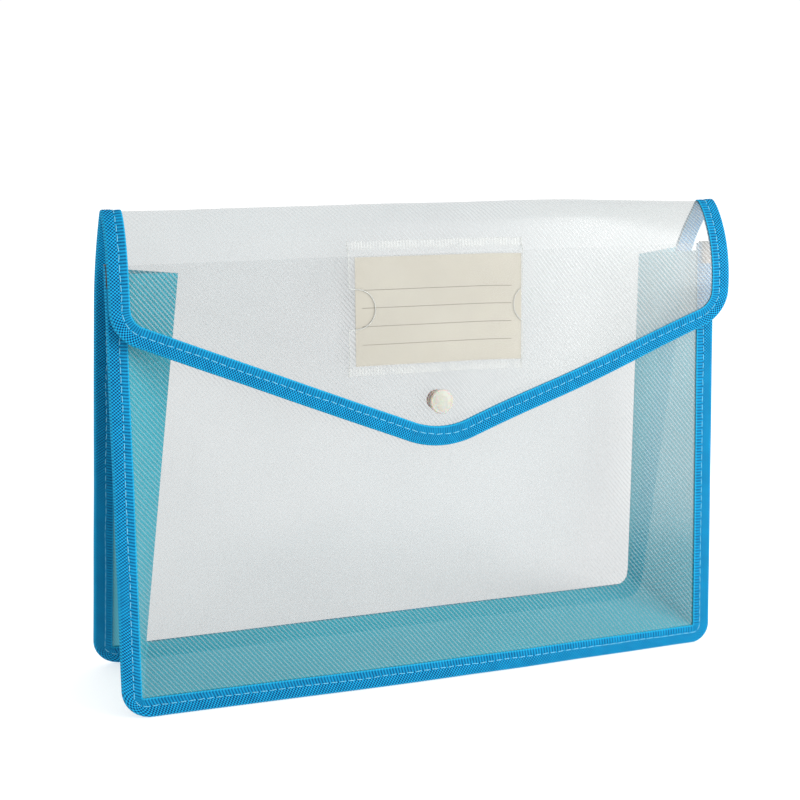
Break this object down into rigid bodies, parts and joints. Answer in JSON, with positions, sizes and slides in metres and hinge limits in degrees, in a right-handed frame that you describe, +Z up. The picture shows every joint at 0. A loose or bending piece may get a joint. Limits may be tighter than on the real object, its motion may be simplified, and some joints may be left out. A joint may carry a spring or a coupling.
{
  "type": "expanding portfolio case",
  "caption": "Clear envelope-style document case with a pointed snap flap, an expanding folded gusset, stitched tape edges and a label pocket.",
  "frame": {"origin": "centre of the footprint on the ground, between the two bottom bindings", "axes": "+X across the case to the right seen from the front, +Y from the front panel to the back panel, +Z up"},
  "size_m": [0.33, 0.0812, 0.2473],
  "materials": {
    "clear_film": "frosted clear polypropylene film with fine diagonal embossed lines",
    "gusset_film": "light blue translucent polypropylene film with fine diagonal embossed lines",
    "binding_tape": "bright blue ribbed woven tape, folded over the edge and lockstitched with light blue thread",
    "pocket_film": "thin clear film, ribbed where it is welded",
    "label_card": "uncoated beige card with four printed rules",
    "snap_plastic": "ivory moulded plastic, satin",
    "clip_metal": "thin crimped sheet metal"
  },
  "bodies": {
    "back": {"back_panel": "clear_film", "back_binding": "binding_tape", "gusset_left_back": "gusset_film", "gusset_bottom_back": "gusset_film", "gusset_right_back": "gusset_film"},
    "front": {"front_panel": "clear_film", "front_binding": "binding_tape", "gusset_left_front": "gusset_film", "gusset_bottom_front": "gusset_film", "gusset_right_front": "gusset_film", "snap_stud": "snap_plastic", "snap_post": "snap_plastic", "left_end_clip": "clip_metal", "right_end_clip": "clip_metal"},
    "flap": {"flap_panel": "clear_film", "flap_binding": "binding_tape", "label_window": "pocket_film", "snap_cap": "snap_plastic", "snap_socket": "snap_plastic"},
    "card": {"label_card": "label_card"}
  },
  "joints": [
    {"name": "flap_hinge", "type": "hinge", "parent": "back", "child": "flap", "pos_m": [0, -0.0201, 0.2474], "axis": [-1, 0, 0], "range_deg": [0, 175]},
    {"name": "front_fold", "type": "hinge", "parent": "back", "child": "front", "pos_m": [0, -0.00375, 0.2883], "axis": [1, 0, 0], "range_deg": [0, 14], "deforming": ["gusset_left_front", "gusset_left_back", "gusset_bottom_front", "gusset_bottom_back", "gusset_right_front", "gusset_right_back"]},
    {"name": "card_slide", "type": "slide", "parent": "flap", "child": "card", "axis": [1, 0, 0], "range_m": [-0.04, 0.04]}
  ]
}
